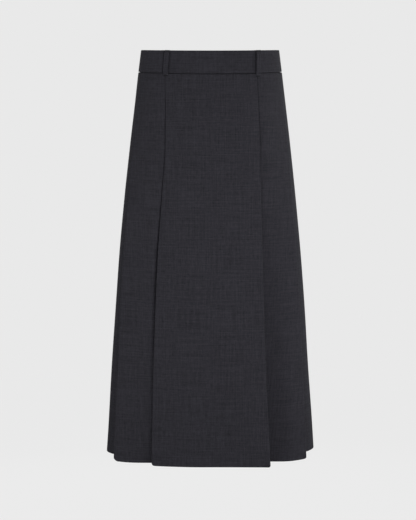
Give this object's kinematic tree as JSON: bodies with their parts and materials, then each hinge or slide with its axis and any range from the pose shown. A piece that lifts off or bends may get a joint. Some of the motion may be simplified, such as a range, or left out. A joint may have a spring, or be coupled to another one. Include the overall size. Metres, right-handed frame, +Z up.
{
  "type": "pleated midi skirt",
  "caption": "Charcoal midi skirt on a straight waistband with belt loops, knife pleats that open towards the hem, and a concealed zip at the centre back; hollow, as worn.",
  "frame": {"origin": "centre of the waistband's ring, halfway up the band, where the wearer's waist holds it", "axes": "+Z up out of the waist, front of the skirt towards -Y, wearer's left side towards +X"},
  "size_m": [0.4012, 0.3148, 0.7731],
  "materials": {
    "suiting": "matt charcoal wool-blend suiting, fine melange plain weave",
    "zip_tape": "black woven polyester tape",
    "zip_metal": "dark lacquered zinc, satin"
  },
  "bodies": {
    "skirt": {"waistband": "suiting", "skirt_front": "suiting", "skirt_back_left": "suiting", "skirt_back_right": "suiting", "belt_loop_front_left": "suiting", "belt_loop_front_right": "suiting", "belt_loop_back_left": "suiting", "belt_loop_back_right": "suiting", "zip_tape": "zip_tape", "zip_slider": "zip_metal"},
    "zip_pull": {"zip_pull": "zip_metal"}
  },
  "joints": [
    {"name": "zip_pull_swing", "type": "hinge", "parent": "skirt", "child": "zip_pull", "pos_m": [0, 0.1004, 0.01669], "axis": [1, 0, 0], "range_deg": [0, 150]}
  ]
}
